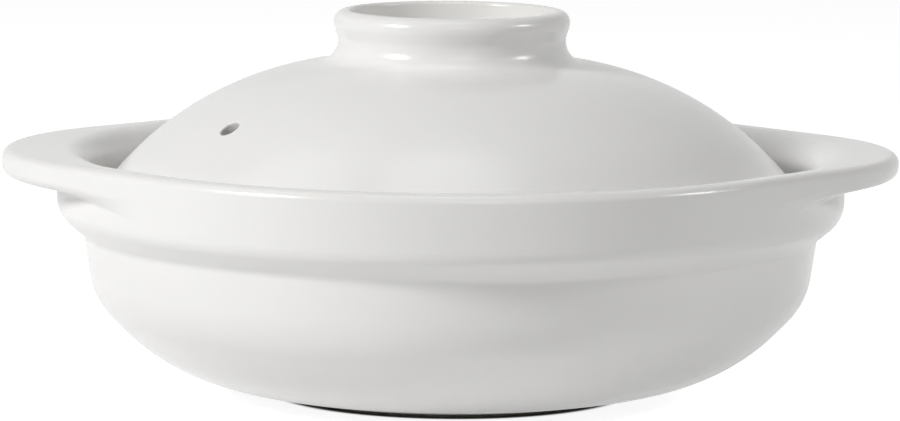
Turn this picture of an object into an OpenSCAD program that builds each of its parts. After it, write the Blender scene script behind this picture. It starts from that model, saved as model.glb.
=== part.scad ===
// Lidded ceramic cooking pot: a shallow bowl with a stepped collar and two ears,
// and a domed lid with a ring knob that sits loose in a gallery inside the rim.
// Lengths in millimetres. The origin is the middle of the foot ring's lowest plane,
// +Z points up, the ears lie along X and the vent hole is on the -X, -Y side.

/* [Rim and collar] */
// Outer diameter of the collar
collar_d = 250; // [240:1:270]
// Height of the rim above the surface the pot stands on
pot_h = 77.9; // [72:0.1:90]
// Depth of the collar, from the rim down to its lower corner
collar_drop = 19.8; // [17:0.1:22]
// How far the collar stands out from the bowl below it
collar_step = 8.4; // [6:0.1:11]
// Height over which the collar's underside slopes out to its lower corner
step_h = 7; // [3:0.1:9]
// Radius of the collar's lower corner
collar_round = 10; // [3:0.1:11]
// Radius of the crease between the bowl and the collar
crease_round = 3.4; // [2:0.1:6]
// Thickness of the collar's wall at the rim
rim_wall = 9.5; // [7:0.1:11]
// Radius of the rim's outer edge
rim_round = 3; // [1:0.1:4]
// Radius of the rim's inner edge
lip_round = 4.8; // [1:0.1:6]

/* [Gallery] */
// Depth of the ledge that carries the lid, below the rim
ledge_drop = 15.4; // [12:0.1:18]
// Width of the gallery, from its wall to the bowl's mouth
gallery_w = 9.5; // [8:0.1:13]
// Radius of the cove between the gallery's wall and its ledge
cove_round = 4.4; // [3:0.1:6]
// Radius of the ledge's edge at the bowl's mouth
mouth_round = 1.5; // [0.5:0.1:2]

/* [Bowl] */
// Thickness of the bowl's side
bowl_wall = 8; // [6:0.1:10]
// Thickness of the bowl's floor
floor_t = 8; // [6:0.1:10]
// How far the haunch, where the side turns in, lies inside the crease
haunch_in = 3; // [1:0.1:6]
// Height of the haunch
haunch_h = 31.1; // [26:0.1:34]
// Radius of the haunch
haunch_round = 23; // [10:1:30]
// How far the heel, where the side meets the underside, lies inside the haunch
heel_in = 22.5; // [18:0.1:26]
// Height of the heel
heel_h = 8; // [7:0.1:12]
// Radius of the heel
heel_round = 62; // [30:1:70]
// Radius between the bowl's side and its floor, inside
floor_round = 80; // [40:1:100]
// Diameter at which the underside starts to rise
sole_d = 123; // [116:1:136]
// Height at which the underside starts to rise
sole_h = 1.8; // [1.2:0.1:2.4]

/* [Foot ring] */
// Outer diameter of the foot ring
foot_d = 107; // [100:1:112]
// Height of the foot ring's outer side
foot_h = 0.8; // [0.5:0.1:1.1]
// Width of the foot ring
foot_w = 6; // [4:0.1:10]
// Depth of the hollow inside the foot ring
foot_recess = 1.6; // [0.8:0.1:2.4]
// Radius of the foot ring's edges
foot_round = 0.4; // [0.1:0.1:0.4]

/* [Ears] */
// How far an ear stands out from the collar
ear_reach = 17.6; // [13:0.1:25]
// Radius of an ear's broad tip, seen from above
ear_tip_r = 76.5; // [60:0.1:80]
// Thickness of an ear
ear_t = 7.8; // [6:0.1:9]
// Radius of an ear's edge
ear_round = 3.2; // [1:0.1:4]

/* [Lid] */
// Gap all round between the lid's edge and the gallery's wall
lid_gap = 3.1; // [2:0.1:6]
// Thickness of the lid
lid_wall = 6; // [5:0.1:7]
// Height of the dome, from the lid's seat to the knob
dome_rise = 42.65; // [36:0.05:50]
// How far the centre of the dome's curve lies from the lid's axis
dome_offset = 27.5; // [20:0.5:30]
// Height of the lid's straight lower edge
lid_edge_h = 3; // [1:0.1:5]
// Radius of the two corners of the lid's lower edge
lid_round = 1.4; // [0.5:0.1:1.8]
// Diameter of the vent hole
vent_d = 6.4; // [5:0.1:8]
// Distance of the vent hole from the lid's edge
vent_in = 27.4; // [22:0.1:42]
// Direction of the vent hole from +X, seen from above
vent_turn = 216.6; // [190:0.2:260]

/* [Knob] */
// Height of the knob above the top of the lid
knob_h = 16.8; // [14:0.1:24]
// Outer diameter of the knob's spread foot
knob_foot_d = 88; // [80:1:92]
// Diameter at the knob's waist
knob_waist_d = 72.2; // [68:0.2:73.4]
// Height of the waist above the top of the lid
knob_waist_h = 7.4; // [6:0.1:9]
// Diameter over the knob's lip
knob_d = 74.8; // [74:0.1:80]
// Height of the lip's lower corner above the waist
lip_low_h = 3.2; // [2:0.1:4]
// Radius of the outer fillet at the knob's foot
knob_foot_round = 7; // [2:0.1:8]
// How much the knob's side widens from the waist down to its foot
knob_lean = 0.6; // [0:0.1:2]
// Radius of the waist
knob_waist_round = 5; // [2:1:12]
// Radius of the lip's outer side
lip_out_round = 4; // [2:0.1:5]
// Thickness of the knob's wall at the lip
knob_wall = 5.4; // [4:0.1:6]
// Radius of the lip's inner side
lip_in_round = 1.3; // [0.5:0.1:1.6]
// How much the knob's hollow narrows towards the lid
hollow_taper = 1; // [0:0.1:2]
// Radius of the fillet round the hollow's floor
hollow_round = 3; // [1:0.1:5]

/* [Hidden] */

// Smoothness of circles, and steps along each rounded corner and along the dome
$fn = 180;
corner_steps = 10;
dome_steps = 36;
// Overrun of a cut past the faces it opens
overrun = 1;
// Angle by which the two mirrored halves of an ear overlap at its middle
ear_lap = 4;

// Radii and levels that follow from the sizes above
collar_r = collar_d / 2;
crease_r = collar_r - collar_step;
crease_h = pot_h - collar_drop - step_h;
haunch_r = crease_r - haunch_in;
heel_r = haunch_r - heel_in;
gallery_r = collar_r - rim_wall;
mouth_r = gallery_r - gallery_w;
ledge_h = pot_h - ledge_drop;
floor_h = foot_recess + floor_t;
foot_r = foot_d / 2;
ear_out = collar_r + ear_reach - ear_tip_r;
lid_r = gallery_r - lid_gap;
vent_out = lid_r - vent_in;
knob_foot_r = knob_foot_d / 2;
land_h = ledge_h + dome_rise;
knob_top_h = land_h + knob_h;
hollow_r = knob_d / 2 - knob_wall;

// The dome's curve, an arc from the edge of the lid's seat to the knob's foot: the height of its
// centre, and its radius
dome_h = land_h - (pow(dome_rise, 2) + pow(lid_r - dome_offset, 2)
    - pow(knob_foot_r - dome_offset, 2)) / (2 * dome_rise);
dome_round = norm([lid_r - dome_offset, ledge_h - dome_h]);

// Corners of the bowl's outside, from the foot ring up to the collar
sole = [sole_d / 2, sole_h];
heel = [heel_r, heel_h];
haunch = [haunch_r, haunch_h];
crease = [crease_r, crease_h];

// Unit direction from one point to another
function heading(a, b) = (b - a) / norm(b - a);

// A direction turned a quarter turn to the left
function leftward(v) = [-v.y, v.x];

// Angle through which a path turns at the middle one of three points
function turn_at(a, p, b) = acos(max(-1, min(1, heading(a, p) * heading(p, b))));

// Points of the arc that rounds the corner p between a and b
function corner_arc(a, p, b, round) =
    let (
        turn = turn_at(a, p, b),
        side = sign(cross(heading(a, p), heading(p, b))),
        start = p - heading(a, p) * round * tan(turn / 2),
        middle = start + side * round * leftward(heading(a, p)),
        arm = start - middle
    )
    round * turn == 0 ? [p] :
    [for (i = [0 : corner_steps])
        let (t = side * turn * i / corner_steps)
        middle + arm * cos(t) + leftward(arm) * sin(t)];

// Part of a corner's radius that fits on a side which has to hold two corners
function share_of(side, need) = need <= side ? 1 : side / need;

// A path with rounded corners. A radius is limited where a side is too short for it.
function rounded(path, rounds) =
    let (
        last = len(path) - 1,
        reach = [for (i = [0 : last]) i == 0 || i == last ? 0 :
            rounds[i] * tan(turn_at(path[i - 1], path[i], path[i + 1]) / 2)],
        room = [for (i = [0 : last - 1])
            share_of(norm(path[i + 1] - path[i]), reach[i] + reach[i + 1])]
    )
    [for (i = [0 : last]) each i == 0 || i == last ? [path[i]] :
        corner_arc(path[i - 1], path[i], path[i + 1], rounds[i] * min(room[i - 1], room[i]))];

// The corner p of a path, moved to the left of both its sides by a wall's thickness
function inset(a, p, b, wall) =
    let (m = leftward(heading(a, p)), n = leftward(heading(p, b)))
    p + wall * (m + n) / (1 + m * n);

// The point at a given height on the line through a and b
function at_height(a, b, h) = a + (b - a) * (h - a.y) / (b.y - a.y);

// A point on an arc about the centre of the dome's radius
function on_dome(radius, angle) = [dome_offset, dome_h] + radius * [cos(angle), sin(angle)];

// Direction, from the centre of the dome's radius, of its point at a given height
function angle_at_height(radius, h) = asin((h - dome_h) / radius);

// Direction of its point at a given distance from the axis
function angle_at_radius(radius, r) = acos((r - dome_offset) / radius);

// Outline of the bowl's outside, from the foot ring to the top of the rim
outside_path = [[foot_r, 0], [foot_r, foot_h], sole, heel, haunch, crease,
    [collar_r, pot_h - collar_drop], [collar_r, pot_h]];
outside_rounds = [foot_round, 0, 0, heel_round, haunch_round, crease_round, collar_round, rim_round];

// Outline of the gallery and the bowl's inside, from the rim down to the middle of the floor
inner_haunch = inset(heel, haunch, crease, bowl_wall);
inner_heel = inset(sole, heel, haunch, bowl_wall);
inner_sole = at_height(inner_heel + sole - heel, inner_heel, floor_h);
inside_path = [[gallery_r, pot_h], [gallery_r, ledge_h], [mouth_r, ledge_h],
    inner_haunch, inner_heel, inner_sole, [0, floor_h]];
inside_rounds = [lip_round, cove_round, mouth_round,
    haunch_round - bowl_wall, heel_round - bowl_wall, floor_round, 0];

// Outline of the hollow under the bowl, from the axis to the foot ring
recess_path = [[0, foot_recess], [foot_r - foot_w, foot_recess], [foot_r - foot_w, 0]];
recess_rounds = [0, foot_round, foot_round];

// Everything within the bowl's outside, as one solid that runs on past the top of the rim
module bowl_block() {
    outside = rounded(concat(outside_path, [[0, pot_h]]), concat(outside_rounds, 0));
    above_rim = pot_h + overrun;
    last = len(outside) - 2;
    rotate_extrude()
        polygon(concat(
            [[0, 0]],
            [for (i = [0 : last]) outside[i]],
            [[outside[last].x, above_rim], [0, above_rim]]));
}

// The bowl: foot ring, curved side, collar, rim and the gallery the lid sits in
module pot_bowl() {
    color("whitesmoke")
    rotate_extrude()
        polygon(rounded(
            concat(recess_path, outside_path, inside_path),
            concat(recess_rounds, outside_rounds, inside_rounds)));
}

// Section of an ear's plate, from its middle to its rounded edge
module ear_section() {
    polygon(rounded(
        [[0, 0], [ear_tip_r, 0], [ear_tip_r, ear_t], [0, ear_t]],
        [0, ear_round, ear_round, 0]));
}

// An ear on the +X side: a broad round tip, and straight flanks that meet the collar
// along its tangents, flush with the rim
module ear() {
    flank_turn = acos((collar_r - ear_tip_r) / ear_out);
    flank_l = ear_out * sin(flank_turn);
    difference() {
        translate([ear_out, 0, pot_h - ear_t])
            for (side = [0, 1])
                mirror([0, side, 0])
                    rotate([0, 0, flank_turn]) {
                        rotate_extrude(angle = -flank_turn - ear_lap)
                            ear_section();
                        translate([0, flank_l, 0])
                            rotate([90, 0, 0])
                                linear_extrude(flank_l)
                                    ear_section();
                    }
        bowl_block();
    }
}

module right_ear() {
    color("whitesmoke") ear();
}

module left_ear() {
    color("whitesmoke") mirror([1, 0, 0]) ear();
}

// The lid: a domed shell with a flat land for the knob and a slanting vent hole
module lid() {
    inner_dome = dome_round - lid_wall;
    edge_h = ledge_h + lid_edge_h;
    outer_low = angle_at_height(dome_round, edge_h);
    inner_low = angle_at_height(inner_dome, edge_h);
    outer_high = angle_at_radius(dome_round, knob_foot_r);
    outer_edge = on_dome(dome_round, outer_low);
    inner_edge = on_dome(inner_dome, inner_low);
    seat_out = outer_edge + [tan(outer_low), -1] * lid_edge_h;
    seat_in = inner_edge + [tan(inner_low), -1] * lid_edge_h;
    color("white")
    difference() {
        rotate_extrude()
            polygon(concat(
                [[0, dome_h + inner_dome]],
                [for (i = [dome_steps : -1 : 1])
                    on_dome(inner_dome, inner_low + (90 - inner_low) * i / dome_steps)],
                rounded([inner_edge, seat_in, seat_out, outer_edge], [0, lid_round, lid_round, 0]),
                [for (i = [1 : dome_steps])
                    on_dome(dome_round, outer_low + (outer_high - outer_low) * i / dome_steps)],
                [[0, land_h]]));
        rotate([0, 0, vent_turn])
            translate([dome_offset, 0, dome_h])
                rotate([0, 90 - angle_at_radius(dome_round, vent_out), 0])
                    translate([0, 0, inner_dome - overrun])
                        cylinder(d = vent_d, h = lid_wall + 2 * overrun);
    }
}

// The knob: an upright ring with a spread foot, a waist and a rounded lip,
// which also serves as a stand when the lid is turned over
module knob_ring() {
    waist = [knob_waist_d / 2, land_h + knob_waist_h];
    side_r = waist.x + knob_lean;
    side_h = land_h + (knob_foot_r - side_r) / tan(angle_at_radius(dome_round, knob_foot_r));
    floor_r = hollow_r - hollow_taper;
    color("white")
    rotate_extrude()
        polygon(rounded(
            [[knob_foot_r, land_h], [side_r, side_h], waist,
                [knob_d / 2, waist.y + lip_low_h], [knob_d / 2, knob_top_h],
                [hollow_r, knob_top_h], [floor_r, land_h], [floor_r - hollow_round, land_h]],
            [0, knob_foot_round, knob_waist_round, lip_out_round, lip_out_round,
                lip_in_round, hollow_round, 0]));
}

pot_bowl();
left_ear();
right_ear();
lid();
knob_ring();
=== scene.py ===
import math

import bpy
import numpy as np
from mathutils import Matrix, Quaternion, Vector


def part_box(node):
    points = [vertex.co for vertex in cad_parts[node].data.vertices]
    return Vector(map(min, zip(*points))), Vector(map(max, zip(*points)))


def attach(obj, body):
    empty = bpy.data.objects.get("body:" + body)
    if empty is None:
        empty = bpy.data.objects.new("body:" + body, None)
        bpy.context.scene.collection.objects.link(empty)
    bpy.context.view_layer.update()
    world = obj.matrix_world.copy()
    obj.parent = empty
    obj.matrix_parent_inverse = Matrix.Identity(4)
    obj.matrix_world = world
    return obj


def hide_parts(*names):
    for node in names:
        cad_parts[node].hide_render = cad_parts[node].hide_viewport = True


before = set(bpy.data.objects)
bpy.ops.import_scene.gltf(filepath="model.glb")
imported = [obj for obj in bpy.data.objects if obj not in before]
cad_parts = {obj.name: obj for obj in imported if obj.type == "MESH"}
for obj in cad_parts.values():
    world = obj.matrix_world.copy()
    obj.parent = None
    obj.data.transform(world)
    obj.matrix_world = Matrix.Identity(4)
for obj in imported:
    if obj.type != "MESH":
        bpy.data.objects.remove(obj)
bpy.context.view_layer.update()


# The view: a long lens a little above the rim, looking along +Y at the front of the pot.
# The photograph leans by less than half a degree, so the camera is rolled by as much.
lens_mm = 204.3
sensor_mm = 36
eye = Vector((0, -1.6139, 0.2605))
aim = Vector((-0.0002, 0, 0.0578))
roll = math.radians(0.433)

camera = bpy.data.objects.new("camera", bpy.data.cameras.new("camera"))
bpy.context.scene.collection.objects.link(camera)
camera.data.lens = lens_mm
camera.data.sensor_width = sensor_mm
camera.data.clip_end = 20
camera.location = eye
camera.rotation_mode = "QUATERNION"
camera.rotation_quaternion = (aim - eye).to_track_quat("-Z", "Y") @ Quaternion((0, 0, 1), roll)
bpy.context.scene.camera = camera


# The pot: a shallow bowl pressed in a mould from pale stoneware clay, with a stepped collar
# whose inside is the gallery for the lid. Two ears are luted on flush with the rim, the joins
# are sponged smooth, and the whole is dipped in white glaze except the foot ring it stands on.
bowl_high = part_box("pot_bowl")[1]
ear_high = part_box("right_ear")[1]
lid_low, lid_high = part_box("lid")

collar_r, rim_h, ledge_h = bowl_high.x, bowl_high.z, lid_low.z
rim_wall, gallery_w, gallery_lean = 0.0095, 0.0095, 0.0018
gallery_r = collar_r - rim_wall
mouth_r = gallery_r - gallery_w

# Outside, the bowl turns at the crease below the collar, the haunch, the heel and the sole
collar_w, crease_in, crease_down = 0.0198, 0.0084, 0.0268
haunch_in, haunch_h = 0.0030, 0.0311
heel_in, heel_h = 0.0225, 0.0080
sole_r, sole_h = 0.0615, 0.0022
collar_low_h = rim_h - collar_w
crease = np.array((collar_r - crease_in, rim_h - crease_down))
haunch = np.array((crease[0] - haunch_in, haunch_h))
heel = np.array((haunch[0] - heel_in, heel_h))
sole = np.array((sole_r, sole_h))
foot_r, foot_inner_r, foot_h, recess_h = 0.0535, 0.0475, 0.0008, 0.0016
bowl_wall, floor_h = 0.0080, 0.0096

# How far each edge is rounded, from the foot's recess up to the rim and down to the floor
recess_round, foot_inner_round, foot_round, foot_top_round = 0.0008, 0.0005, 0.0004, 0.0003
sole_round, heel_round, haunch_round, crease_round = 0.0150, 0.0620, 0.0230, 0.0034
collar_round, collar_ear_round = 0.0055, 0.0100
rim_round, rim_inner_round, cove_round, mouth_round = 0.0030, 0.0048, 0.0024, 0.0015
inner_haunch_round, inner_heel_round, floor_round = 0.0150, 0.0540, 0.0800

# The ears were shaped by hand: the left one is a little broader and thicker than the right.
# Each stands out by its reach, has a tip of this radius and thickness, and was sponged to the
# brow's radius where its top runs down into the gallery.
ear_reach = ear_high.x - collar_r
right_short = 0.0004
right_ear = {"reach": ear_reach - right_short, "tip": 0.0720, "thick": 0.0074, "brow": 0.0112}
left_ear = {"reach": ear_reach, "tip": 0.0810, "thick": 0.0081, "brow": 0.0080}
ear_round = 0.0032

# The slip in the corner below an ear, thickest where the ear starts, and the lengths over which
# the slip, the ear's edge and its brow come to their full size
root_round, root_drop, root_fade = 0.0022, 0.0008, 0.0052
edge_start, brow_start = 0.005, 0.006

# How many sections go round the axis, in both meshes
turns = 384


def heading(a, b):
    """Unit direction from one point to another."""
    return (b - a) / np.linalg.norm(b - a)


def leftward(v):
    """A direction turned a quarter turn to the left."""
    return np.array((-v[1], v[0]))


def inset(a, p, b, wall):
    """The corner p of a path, moved to the left of both its sides by a wall's thickness."""
    m, n = leftward(heading(a, p)), leftward(heading(p, b))
    return p + wall * (m + n) / (1 + m @ n)


def outline(corners, least=0.0003):
    """A section's points. Each corner has its (r, z), its radius, and the numbers of steps round
    its arc and along the side after it. Even a sharp corner is cut back by the least reach."""
    spots = [np.array(corner[0], float) for corner in corners]
    sides = list(zip(spots, spots[1:]))
    lengths = [np.linalg.norm(b - a) for a, b in sides]
    ways = [heading(a, b) for a, b in sides]
    bends = [0] + [math.acos(np.clip(a @ b, -1, 1)) for a, b in zip(ways, ways[1:])] + [0]
    reaches = [max(least, corner[1] * math.tan(bend / 2)) for corner, bend in zip(corners, bends)]
    reaches[0] = reaches[-1] = 0
    room = [min(1, length / (a + b)) for length, a, b in zip(lengths, reaches, reaches[1:])]
    points = [spots[0]]
    for i in range(1, len(spots)):
        reach = reaches[i] * min(room[i - 1], room[i]) if i < len(ways) else 0
        start = spots[i] - ways[i - 1] * reach
        last = points[-1]
        points += [last + (start - last) * t for t in np.linspace(0, 1, corners[i - 1][3] + 1)[1:]]
        if i < len(ways):
            end = spots[i] + ways[i] * reach
            for t in np.linspace(0, 1, corners[i][2] + 1)[1:]:
                shares = np.array(((1 - t) ** 2, 2 * math.cos(bends[i] / 2) * t * (1 - t), t ** 2))
                points.append(shares @ np.array((start, spots[i], end)) / shares.sum())
    return np.array(points)


def turning(points, reach=0.002):
    """How far a section turns outwards within this reach of each of its points, in radians."""
    steps = np.diff(points, axis=0)
    along = np.append(0, np.cumsum(np.hypot(steps[:, 0], steps[:, 1])))
    headings = np.unwrap(np.arctan2(steps[:, 1], steps[:, 0]))
    middles = (along[1:] + along[:-1]) / 2
    return np.interp(along + reach, middles, headings) - np.interp(along - reach, middles, headings)


def spun(points):
    """Vertices and faces of a closed shell, from sections at even turns about the axis. points
    is turns by rows by (r, z), and its first and last rows lie on the axis."""
    count, rows = points.shape[0], points.shape[1] - 2
    turn = np.arange(count)[:, None] * 2 * math.pi / count
    r, z = points[:, 1:-1, 0], points[:, 1:-1, 1]
    places = np.stack((r * np.cos(turn), r * np.sin(turn), z), -1).reshape(-1, 3)
    ends = [(0, 0, points[0, 0, 1]), (0, 0, points[0, -1, 1])]
    faces = {}
    for a in range(count):
        here, there = a * rows, (a + 1) % count * rows
        faces[a, -1] = (count * rows, there, here)
        faces[a, rows - 1] = (count * rows + 1, here + rows - 1, there + rows - 1)
        for k in range(rows - 1):
            faces[a, k] = (here + k, there + k, there + k + 1, here + k + 1)
    return np.vstack((places, ends)), faces


def shell(name, vertices, faces, marks):
    """An object from vertices and faces. marks holds a value to keep with each vertex."""
    used, renumbered = np.unique(np.concatenate([np.array(f) for f in faces]), return_inverse=True)
    starts = np.cumsum([0] + [len(f) for f in faces])
    mesh = bpy.data.meshes.new(name)
    mesh.from_pydata(vertices[used].tolist(), [],
                     [renumbered[a:b].tolist() for a, b in zip(starts, starts[1:])])
    kept = mesh.attributes.new("edge", "FLOAT", "POINT")
    kept.data.foreach_set("value", marks[used].astype(np.float32))
    mesh.polygons.foreach_set("use_smooth", [True] * len(mesh.polygons))
    piece = bpy.data.objects.new(name, mesh)
    bpy.context.scene.collection.objects.link(piece)
    return piece


def ear_stand(turn, ear):
    """How far an ear stands out from the collar, at an angle from the ear's middle."""
    centre = collar_r + ear["reach"] - ear["tip"]
    flank_turn = math.acos((collar_r - ear["tip"]) / centre)
    if turn >= flank_turn:
        return 0
    across = centre * math.sin(turn)
    tip = centre * math.cos(turn) + math.sqrt(ear["tip"] ** 2 - across ** 2)
    on_tip = math.atan2(tip * math.sin(turn), tip * math.cos(turn) - centre) < flank_turn
    return (tip if on_tip else collar_r / math.cos(flank_turn - turn)) - collar_r


inner_haunch = inset(heel, haunch, crease, bowl_wall)
inner_heel = inset(sole, heel, haunch, bowl_wall)
floor_share = (floor_h - inner_heel[1]) / (sole - heel)[1]
inner_sole = inner_heel + (sole - heel) * floor_share


def pot_section(turn):
    """The pot's section in one direction, from the middle of its base round to its floor. The
    collar's lower edge is pressed rounder below the ears."""
    ear = right_ear if abs(turn) < math.pi / 2 else left_ear
    stand = ear_stand(min(abs(turn), math.pi - abs(turn)), ear)
    low = rim_h - ear["thick"]
    drop = root_drop + root_fade * math.exp(-stand / edge_start)
    under_ear_share = math.cos(turn) ** 12
    low_round = collar_round + (collar_ear_round - collar_round) * under_ear_share
    top_round = rim_round + (ear_round - rim_round) * min(1, stand / edge_start)
    brow = rim_inner_round + (ear["brow"] - rim_inner_round) * min(1, stand / brow_start)
    return outline([
        ((0, recess_h), 0, 0, 14),
        ((foot_inner_r, recess_h), recess_round, 4, 1),
        ((foot_inner_r, 0), foot_inner_round, 4, 2),
        ((foot_r, 0), foot_round, 4, 1),
        ((foot_r, foot_h), foot_top_round, 4, 2),
        (sole, sole_round, 6, 4),
        (heel, heel_round, 16, 4),
        (haunch, haunch_round, 14, 5),
        (crease, crease_round, 8, 1),
        ((collar_r, collar_low_h), low_round, 12, 3),
        ((collar_r, low - drop), root_round, 8, 4),
        ((collar_r + stand, low), ear_round, 8, 1),
        ((collar_r + stand, rim_h), top_round, 8, 6),
        ((gallery_r, rim_h), brow, 12, 2),
        ((gallery_r - gallery_lean, ledge_h), cove_round, 12, 2),
        ((mouth_r, ledge_h), mouth_round, 6, 8),
        (inner_haunch, inner_haunch_round, 12, 4),
        (inner_heel, inner_heel_round, 16, 4),
        (inner_sole, floor_round, 12, 14),
        ((0, floor_h), 0, 0, 0),
    ])


pot_points = np.array([pot_section(math.remainder(k * 2 * math.pi / turns, 2 * math.pi))
                       for k in range(turns)])
pot_marks = np.array([turning(points) for points in pot_points])[:, 1:-1].reshape(-1)
pot_vertices, pot_faces = spun(pot_points)
pot = shell("glazed_pot", pot_vertices, list(pot_faces.values()), np.append(pot_marks, (0, 0)))


class Wire:
    """A shader value that can stand in a sum: each operator adds its Math node."""

    def __init__(self, finish, socket):
        self.finish, self.socket = finish, socket

    def _math(self, operation, a, b):
        return self.finish.node("Math", {0: a, 1: b}, operation=operation)

    def __add__(self, other):
        return self._math("ADD", self, other)

    def __rsub__(self, other):
        return self._math("SUBTRACT", other, self)

    def __mul__(self, other):
        return self._math("MULTIPLY", self, other)

    def __lt__(self, other):
        return self._math("LESS_THAN", self, other)

    __radd__, __rmul__ = __add__, __mul__


class Finish:
    """A surface's shader. One method makes every node in it."""

    def __init__(self, tree):
        self.tree = tree
        tree.nodes.clear()

    def node(self, kind, sockets, output=0, **settings):
        """A node of this kind: its settings are made first, then its sockets' values or wires."""
        made = self.tree.nodes.new("ShaderNode" + kind)
        for name, value in settings.items():
            setattr(made, name, value)
        for name, value in sockets.items():
            if isinstance(value, Wire):
                self.tree.links.new(value.socket, made.inputs[name])
            else:
                made.inputs[name].default_value = value
        return Wire(self, made.outputs[output]) if len(made.outputs) else made

    def mix(self, share, a, b):
        """A colour between a and b."""
        return self.node("Mix", {0: share, 6: a, 7: b}, output=2, data_type="RGBA")


def surface(name, piece):
    """A new material on this piece, as the finish it is drawn with."""
    material = bpy.data.materials.new(name)
    material.use_nodes = True
    piece.data.materials.clear()
    piece.data.materials.append(material)
    return Finish(material.node_tree)


white_glaze = (0.835, 0.826, 0.808, 1)
thick_glaze = (0.820, 0.817, 0.806, 1)
thin_glaze = (0.770, 0.752, 0.720, 1)
bare_clay = (0.520, 0.470, 0.400, 1)
dark_clay = (0.416, 0.376, 0.320, 1)

# The glaze runs thin on edges that turn by more than thin_from. Scales are in marks per metre, and
# reliefs are heights in metres. The roughness of the glaze stays below about 0.27.
thin_from, thin_full, thin_most = 0.7, 1.6, 0.4
cloud_scale, ripple_scale, grain_scale, grit_scale = 16, 260, 2600, 900
ripple_relief, grain_relief, grit_relief = 0.00003, 0.000008, 0.00012
glaze_rough, cloud_rough, thin_rough, clay_rough = 0.185, 0.08, 0.04, 0.85
glaze_ior = 1.5


def glaze(finish, bare):
    """Satin white glaze over pale clay. bare is 1 where the clay was wiped clean before firing."""
    place = finish.node("TexCoord", {}, output="Object")
    edge = finish.node("Attribute", {}, output="Fac", attribute_name="edge")
    cloudy = finish.node("TexNoise", {"Vector": place, "Scale": cloud_scale, "Detail": 3})
    thin = finish.node("MapRange", {"Value": edge, "From Min": thin_from, "From Max": thin_full,
                                    "To Max": thin_most}, interpolation_type="SMOOTHSTEP")
    ripple = finish.node("TexNoise", {"Vector": place, "Scale": ripple_scale, "Detail": 2})
    grain = finish.node("TexNoise", {"Vector": place, "Scale": grain_scale, "Detail": 2})
    grit = finish.node("TexVoronoi", {"Vector": place, "Scale": grit_scale}, output="Distance")
    coat = finish.mix(thin, finish.mix(cloudy, white_glaze, thick_glaze), thin_glaze)
    clay = finish.mix(grain, bare_clay, dark_clay)
    height = ripple * ripple_relief + grain * grain_relief + bare * grit * grit_relief
    glazed = cloudy * cloud_rough + glaze_rough + thin * thin_rough
    shader = finish.node("BsdfPrincipled", {
        "Base Color": finish.mix(bare, coat, clay),
        "Roughness": glazed * (1 - bare) + bare * clay_rough,
        "Normal": finish.node("Bump", {"Height": height, "Distance": 1.0, "Strength": 1.0}),
        "IOR": glaze_ior,
    })
    finish.node("OutputMaterial", {"Surface": shader})


pot_finish = surface("pot_glaze", pot)
pot_place = pot_finish.node("TexCoord", {}, output="Object")
pot_level = pot_finish.node("SeparateXYZ", {"Vector": pot_place}, output="Z")
wiped_share = 0.9
glaze(pot_finish, pot_level < foot_h * wiped_share)
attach(pot, "pot")
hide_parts("pot_bowl", "left_ear", "right_ear")


# The lid: a domed shell of the same clay, jiggered over a hump mould, with a thrown ring luted
# on top as its knob. It is glazed all over but for its seat, and one vent hole is punched through
# it, square to the dome, before the clay is dry.
knob_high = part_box("knob_ring")[1]
land_h, knob_top_h, knob_foot_r = lid_high.z, knob_high.z, knob_high.x

# The dome is an arc about a centre that stands out from the axis, and it ends in a straight tail
lid_gap, lid_wall, tail, dome_offset = 0.0031, 0.0060, 0.0030, 0.0275
lid_r = gallery_r - lid_gap
edge_h = ledge_h + tail
dome_rise = land_h - ledge_h
dome_h = land_h - (dome_rise ** 2 + (lid_r - dome_offset) ** 2
                   - (knob_foot_r - dome_offset) ** 2) / (2 * dome_rise)
dome_round = math.hypot(lid_r - dome_offset, ledge_h - dome_h)

# The knob, from the foot of its side up to its lip and down into its hollow
waist_r, waist_rise, side_out = 0.0361, 0.0080, 0.0006
lip_r, lip_rise, lip_wall, hollow_draft = 0.0374, 0.0042, 0.0054, 0.0010
side_r = waist_r + side_out
waist_h = land_h + waist_rise
lip_low_h = waist_h + lip_rise
hollow_r = lip_r - lip_wall
hollow_floor_r = hollow_r - hollow_draft
seat_round, side_round, waist_round, lip_low_round = 0.0014, 0.0068, 0.0050, 0.0060
lip_round, lip_inner_round, hollow_round = 0.0036, 0.0013, 0.0030

vent_in, vent_r, vent_round = 0.0274, 0.0032, 0.0005
vent_out = lid_r - vent_in
vent_turn = math.radians(216.6)


def on_dome(radius, angle):
    """A point of the dome's section, on an arc about the centre of its radius."""
    return np.array((dome_offset, dome_h)) + radius * np.array((math.cos(angle), math.sin(angle)))


def dome_corner(radius, low, high):
    """Where the tangents of an arc's two ends meet, which is the corner that the arc rounds."""
    return on_dome(radius / math.cos((high - low) / 2), (high + low) / 2)


inner_round = dome_round - lid_wall
outer_low = math.asin((edge_h - dome_h) / dome_round)
inner_low = math.asin((edge_h - dome_h) / inner_round)
outer_high = math.acos((knob_foot_r - dome_offset) / dome_round)
seat_out = on_dome(dome_round, outer_low) + tail * np.array((math.tan(outer_low), -1))
seat_in = on_dome(inner_round, inner_low) + tail * np.array((math.tan(inner_low), -1))
side_h = land_h + (knob_foot_r - side_r) / math.tan(outer_high)

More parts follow.
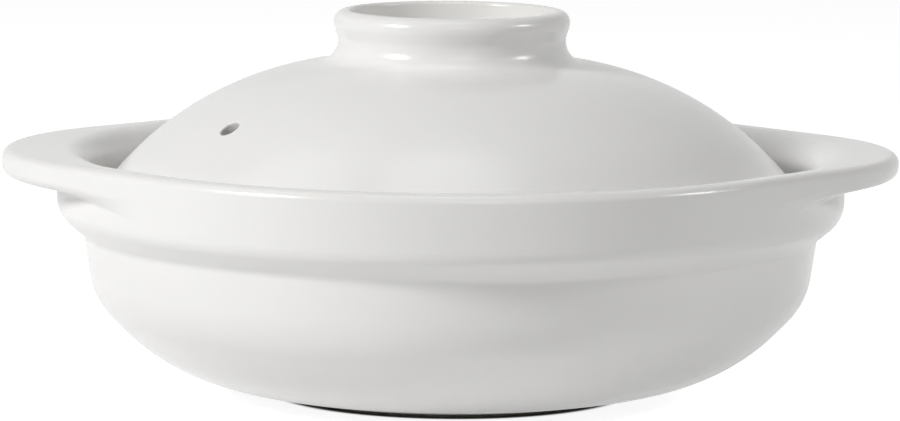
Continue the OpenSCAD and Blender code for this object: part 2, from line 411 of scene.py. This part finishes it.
lid_points = outline([
    ((0, dome_h + inner_round), 0, 0, 14),
    (dome_corner(inner_round, inner_low, math.pi / 2), inner_round, 64, 2),
    (seat_in, seat_round, 6, 3),
    (seat_out, seat_round, 6, 2),
    (dome_corner(dome_round, outer_low, outer_high), dome_round, 60, 2),
    ((side_r, side_h), side_round, 14, 2),
    ((waist_r, waist_h), waist_round, 10, 2),
    ((lip_r, lip_low_h), lip_low_round, 8, 1),
    ((lip_r, knob_top_h), lip_round, 10, 1),
    ((hollow_r, knob_top_h), lip_inner_round, 6, 5),
    ((hollow_floor_r, land_h), hollow_round, 8, 10),
    ((0, land_h), 0, 0, 0),
])
lid_vertices, lid_faces = spun(np.tile(lid_points, (turns, 1, 1)))
lid_marks = np.append(np.tile(turning(lid_points)[1:-1], turns), (0, 0))

# The vent's own frame: its mouth on the dome, its axis, and the directions down the slope and across
vent_angle = math.acos((vent_out - dome_offset) / dome_round)
radial = np.array((math.cos(vent_turn), math.sin(vent_turn), 0))
across = np.array((-radial[1], radial[0], 0))
upright = np.array((0, 0, 1))
vent_axis = radial * math.cos(vent_angle) + upright * math.sin(vent_angle)
down_slope = radial * math.sin(vent_angle) - upright * math.cos(vent_angle)
vent_heart = radial * dome_offset + upright * dome_h


def on_shell(radius, away, angle, tries=6):
    """The point of the dome at this distance from the vent's axis, in this direction round it.
    It slides along the axis until it lies on the dome, and each try brings it nearer."""
    spot = vent_heart + vent_axis * radius
    spot = spot + away * (math.cos(angle) * down_slope + math.sin(angle) * across)
    for _ in range(tries):
        r = math.hypot(spot[0], spot[1])
        rim = np.array((spot[0] / r, spot[1] / r, 0)) * dome_offset + upright * dome_h
        out = spot - rim
        size = np.linalg.norm(out)
        spot = spot + vent_axis * (radius - size) / (out / size @ vent_axis)
    return spot


# A square of the dome's faces is taken out around the vent, outside and inside alike
rows = len(lid_points) - 2
window = 5
middle = round(vent_turn / (2 * math.pi) * turns)
first, last = middle - window, middle + window
loops = []
for radius in (dome_round, inner_round):
    spot = on_dome(radius, vent_angle)
    nearest = int(np.argmin(np.linalg.norm(lid_points - spot, axis=1))) - 1
    step = 1 if radius == dome_round else -1
    lower, upper = nearest - step * window, nearest + step * window
    for a in range(first, last):
        for k in range(nearest - window, nearest + window):
            del lid_faces[a, k]
    loop = [(a, lower) for a in range(first, last)]
    loop += [(last, k) for k in range(lower, upper, step)]
    loop += [(a, upper) for a in range(last, first, -1)]
    loop += [(first, k) for k in range(upper, lower, -step)]
    loops.append([a * rows + k for a, k in loop])

# The vent is lined with rings, from the dome round the hole's edge, through the wall and out inside
outer_loop, inner_loop = loops
mouth = on_shell(dome_round, 0, 0)
angles = [math.atan2((lid_vertices[v] - mouth) @ across, (lid_vertices[v] - mouth) @ down_slope)
          for v in outer_loop]
quarter = np.linspace(0, math.pi / 2, 7)
apron, depth_shares, vent_turning = (0.0040, 0.0046, 0.0056), (0.3, 0.5, 0.7), 1.5
rings = [(dome_round, away, 0, 0) for away in reversed(apron)]
rings += [(dome_round, vent_r + vent_round * (1 - math.sin(q)), -vent_round * (1 - math.cos(q)),
           math.sin(2 * q)) for q in quarter]
rings += [(dome_round, vent_r, -lid_wall * share, 0) for share in depth_shares]
rings += [(inner_round, vent_r + vent_round * (1 - math.cos(q)), vent_round * (1 - math.sin(q)),
           math.sin(2 * q)) for q in quarter]
rings += [(inner_round, away, 0, 0) for away in apron]
faces, vertices, marks = list(lid_faces.values()), [*lid_vertices], [*lid_marks]
previous = outer_loop
for radius, away, depth, mark in rings:
    ring = list(range(len(vertices), len(vertices) + len(angles)))
    vertices += [on_shell(radius, away, angle) + vent_axis * depth for angle in angles]
    marks += [mark * vent_turning] * len(angles)
    for i in range(len(angles)):
        j = (i + 1) % len(angles)
        faces.append((previous[i], previous[j], ring[j], ring[i]))
    previous = ring
for i in range(len(angles)):
    j = (i + 1) % len(angles)
    faces.append((previous[i], previous[j], inner_loop[j], inner_loop[i]))
lid = shell("glazed_lid", np.array(vertices), faces, np.array(marks))

lid_finish = surface("lid_glaze", lid)
lid_place = lid_finish.node("TexCoord", {}, output="Object")
lid_level = lid_finish.node("SeparateXYZ", {"Vector": lid_place}, output="Z")
seat_wipe = 0.0005
glaze(lid_finish, lid_level < ledge_h + seat_wipe)
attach(lid, "lid")
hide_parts("lid", "knob_ring")


# The stage: a table top that runs on into a white background, lit by five round studio lamps.
# Table and sky are white to the camera and a little weaker in the glaze. To all other rays they
# are a plain pale top and a faint fill. Round the pot's foot the table's glow is taken away: a
# painted narrow dark contact shadow.
half = 6.0
table_mesh = bpy.data.meshes.new("table_top")
table_mesh.from_pydata([(-half, -half, 0), (half, -half, 0), (half, half, 0), (-half, half, 0)], [],
                       [(0, 1, 2, 3)])
table_top = bpy.data.objects.new("table_top", table_mesh)
bpy.context.scene.collection.objects.link(table_top)
table = surface("table_top", table_top)
mirrored_share = 0.88
seen = (table.node("LightPath", {}, output="Is Camera Ray")
        + table.node("LightPath", {}, output="Is Glossy Ray") * mirrored_share)
spread = table.node("VectorMath", {0: table.node("TexCoord", {}, output="Object")},
                    output="Value", operation="LENGTH")
# The glow fades in from just outside the foot, so the disc under the foot is a painted contact shadow
shadow_near, shadow_far = 0.002, 0.005
clear = table.node("MapRange", {"Value": spread, "From Min": foot_r + shadow_near,
                                "From Max": foot_r + shadow_far}, interpolation_type="SMOOTHSTEP")
white = (1, 1, 1, 1)
pale_top = (0.95, 0.95, 0.95, 1)
shadow_grey = (0.40, 0.40, 0.40, 1)
table_glow = 0.90
plain = table.node("BsdfDiffuse", {"Color": pale_top})
shadowed = table.node("BsdfDiffuse", {"Color": shadow_grey})
glow = table.node("Emission", {"Color": white, "Strength": table_glow})
lit = table.node("AddShader", {0: shadowed, 1: glow})
shown = table.node("MixShader", {0: clear, 1: shadowed, 2: lit})
table.node("OutputMaterial", {"Surface": table.node("MixShader", {0: seen, 1: plain, 2: shown})})

world = bpy.context.scene.world or bpy.data.worlds.new("sky")
bpy.context.scene.world = world
world.use_nodes = True
sky = Finish(world.node_tree)
seen_sky = (sky.node("LightPath", {}, output="Is Camera Ray")
            + sky.node("LightPath", {}, output="Is Glossy Ray") * mirrored_share)
sky_fill, sky_white = 0.03, 1.0
fill = sky.node("Background", {"Color": white, "Strength": sky_fill})
backdrop = sky.node("Background", {"Color": white, "Strength": sky_white})
sky.node("OutputWorld", {"Surface": sky.node("MixShader", {0: seen_sky, 1: fill, 2: backdrop})})


lamp_away, lamp_aim = 1.7, Vector((0, 0, 0.06))


def softbox(name, turn, rise, width, power):
    """A round studio lamp at a turn from the front towards the right, at a rise above the table,
    both in degrees, with its width in metres and its power in watts."""
    lamp = bpy.data.objects.new(name, bpy.data.lights.new(name, "AREA"))
    bpy.context.scene.collection.objects.link(lamp)
    lamp.data.shape = "DISK"
    lamp.data.size = width
    lamp.data.energy = power
    turn, rise = math.radians(turn), math.radians(rise)
    away = Vector((math.sin(turn) * math.cos(rise), -math.cos(turn) * math.cos(rise), math.sin(rise)))
    lamp.location = lamp_aim + lamp_away * away
    lamp.rotation_mode = "QUATERNION"
    lamp.rotation_quaternion = (-away).to_track_quat("-Z", "Y")


softbox("key", turn=-59, rise=30, width=0.42, power=19.5)
softbox("side", turn=80, rise=30, width=0.42, power=6.9)
softbox("front", turn=12, rise=32, width=0.8, power=2.6)
softbox("top", turn=0, rise=85, width=0.8, power=2.9)
softbox("back", turn=-100, rise=58, width=0.8, power=1.8)

bpy.context.scene.view_settings.view_transform = "Standard"
